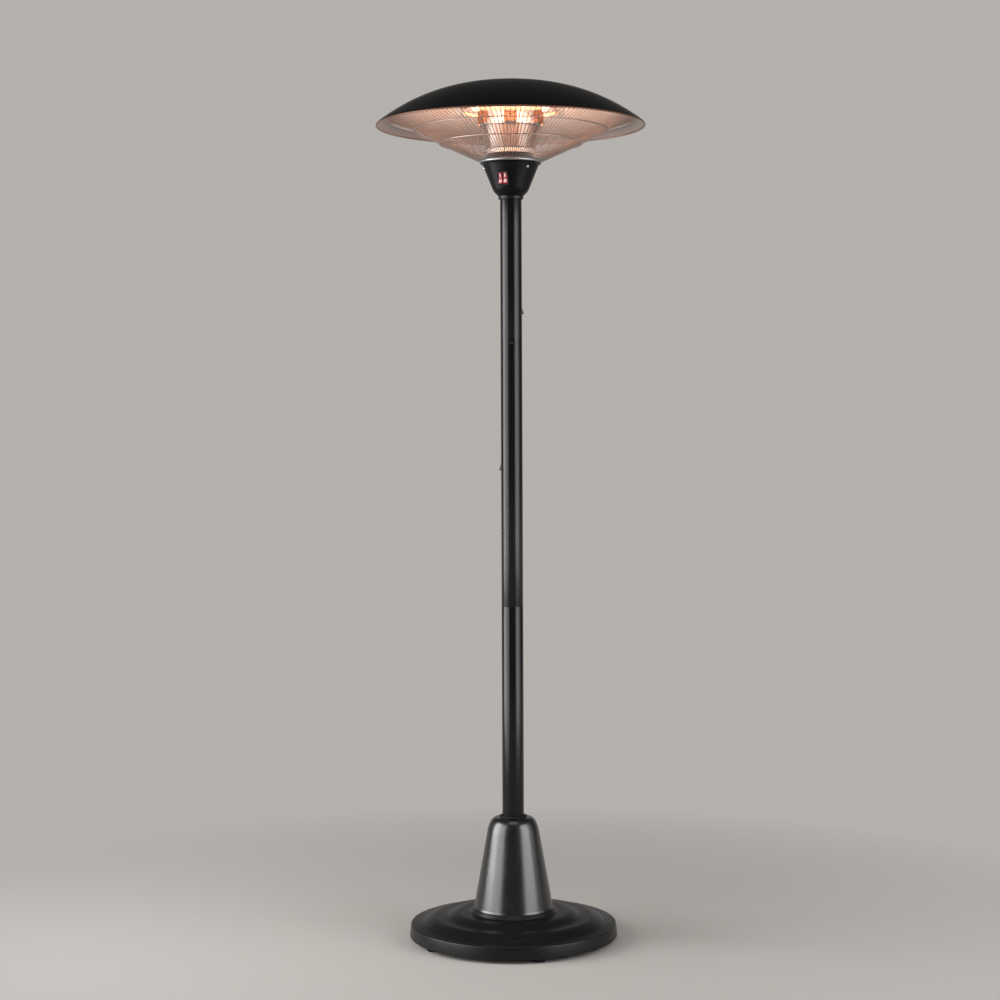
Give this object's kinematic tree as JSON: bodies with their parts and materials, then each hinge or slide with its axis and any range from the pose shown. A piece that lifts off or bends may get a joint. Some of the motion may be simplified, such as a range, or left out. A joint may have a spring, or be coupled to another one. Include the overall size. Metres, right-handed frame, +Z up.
{
  "type": "patio heater",
  "caption": "Free-standing electric patio heater with a weighted round base, a bell cover, a jointed pole and a domed head with lamps behind a cone of guard wires.",
  "frame": {"origin": "on the floor under the pole, at the middle of the base", "axes": "+Z up along the pole, -Y towards the front, +X to the right as seen from the front"},
  "size_m": [0.652, 0.652, 2.0768],
  "materials": {
    "satin_black_steel": "satin black powder coat",
    "gloss_black_steel": "gloss black paint",
    "rubber": "black rubber",
    "cast_iron": "raw casting",
    "plated_steel": "zinc plated",
    "polished_steel": "polished reflector",
    "wire_steel": "chromed wire",
    "lining": "polished lining",
    "quartz": "clear quartz",
    "filament": "glowing coil",
    "ceramic": "unglazed ceramic",
    "red_rocker": "red moulding with white marks",
    "black_plastic": "moulded black plastic",
    "brass": "turned brass"
  },
  "bodies": {
    "heater": {"base_cover": "satin_black_steel", "base_weight": "cast_iron", "foot_1": "rubber", "foot_2": "rubber", "foot_3": "rubber", "foot_4": "rubber", "foot_5": "rubber", "pole_flange": "plated_steel", "flange_bolt_1": "plated_steel", "flange_bolt_2": "plated_steel", "flange_bolt_3": "plated_steel", "pole_lower": "gloss_black_steel", "pole_middle": "gloss_black_steel", "pole_upper": "gloss_black_steel", "joint_sleeve_lower": "plated_steel", "joint_sleeve_upper": "plated_steel", "lock_screw_lower": "satin_black_steel", "lock_screw_upper": "satin_black_steel", "cord_clip_lower": "black_plastic", "cord_clip_upper": "black_plastic", "neck_collar": "satin_black_steel", "switch_housing": "gloss_black_steel", "housing_lid": "black_plastic", "housing_screw_1": "plated_steel", "housing_screw_2": "plated_steel", "housing_screw_3": "plated_steel", "switch_body": "black_plastic", "cord_gland": "black_plastic", "terminal_block": "ceramic", "tip_switch_case": "black_plastic", "reflector_column": "polished_steel", "guard_grille": "wire_steel", "hood": "gloss_black_steel", "hood_lining": "lining", "centre_tube": "plated_steel", "cap_nut": "gloss_black_steel", "lamp_1": "quartz", "lamp_2": "quartz", "lamp_3": "quartz", "filament_1": "filament", "filament_2": "filament", "filament_3": "filament", "lamp_holder_1": "ceramic", "lamp_holder_2": "ceramic", "lamp_holder_3": "ceramic", "lamp_holder_4": "ceramic", "lamp_holder_5": "ceramic", "lamp_holder_6": "ceramic", "lamp_bracket_1": "plated_steel", "lamp_bracket_2": "plated_steel", "lamp_bracket_3": "plated_steel", "lamp_rest_1": "plated_steel", "lamp_rest_2": "plated_steel", "lamp_rest_3": "plated_steel"},
    "bell": {"bell_cover": "gloss_black_steel", "bell_grommet": "rubber"},
    "left_rocker": {"rocker_left": "red_rocker"},
    "right_rocker": {"rocker_right": "red_rocker"},
    "tip_pendulum": {"tip_switch_pendulum": "brass"}
  },
  "joints": [
    {"name": "rocker_left_press", "type": "hinge", "parent": "heater", "child": "left_rocker", "pos_m": [-0.02404, -0.04661, 1.83348], "axis": [0.9361, -0.3518, 0], "range_deg": [0, 20]},
    {"name": "rocker_right_press", "type": "hinge", "parent": "heater", "child": "right_rocker", "pos_m": [-0.01261, -0.0509, 1.83348], "axis": [0.9361, -0.3518, 0], "range_deg": [0, 20]},
    {"name": "bell_lift", "type": "slide", "parent": "heater", "child": "bell", "axis": [0, 0, 1], "range_m": [0, 0.3]},
    {"name": "tip_swing", "type": "hinge", "parent": "heater", "child": "tip_pendulum", "pos_m": [0.034, 0, 1.8879], "axis": [0, 1, 0], "range_deg": [-20, 20]}
  ]
}
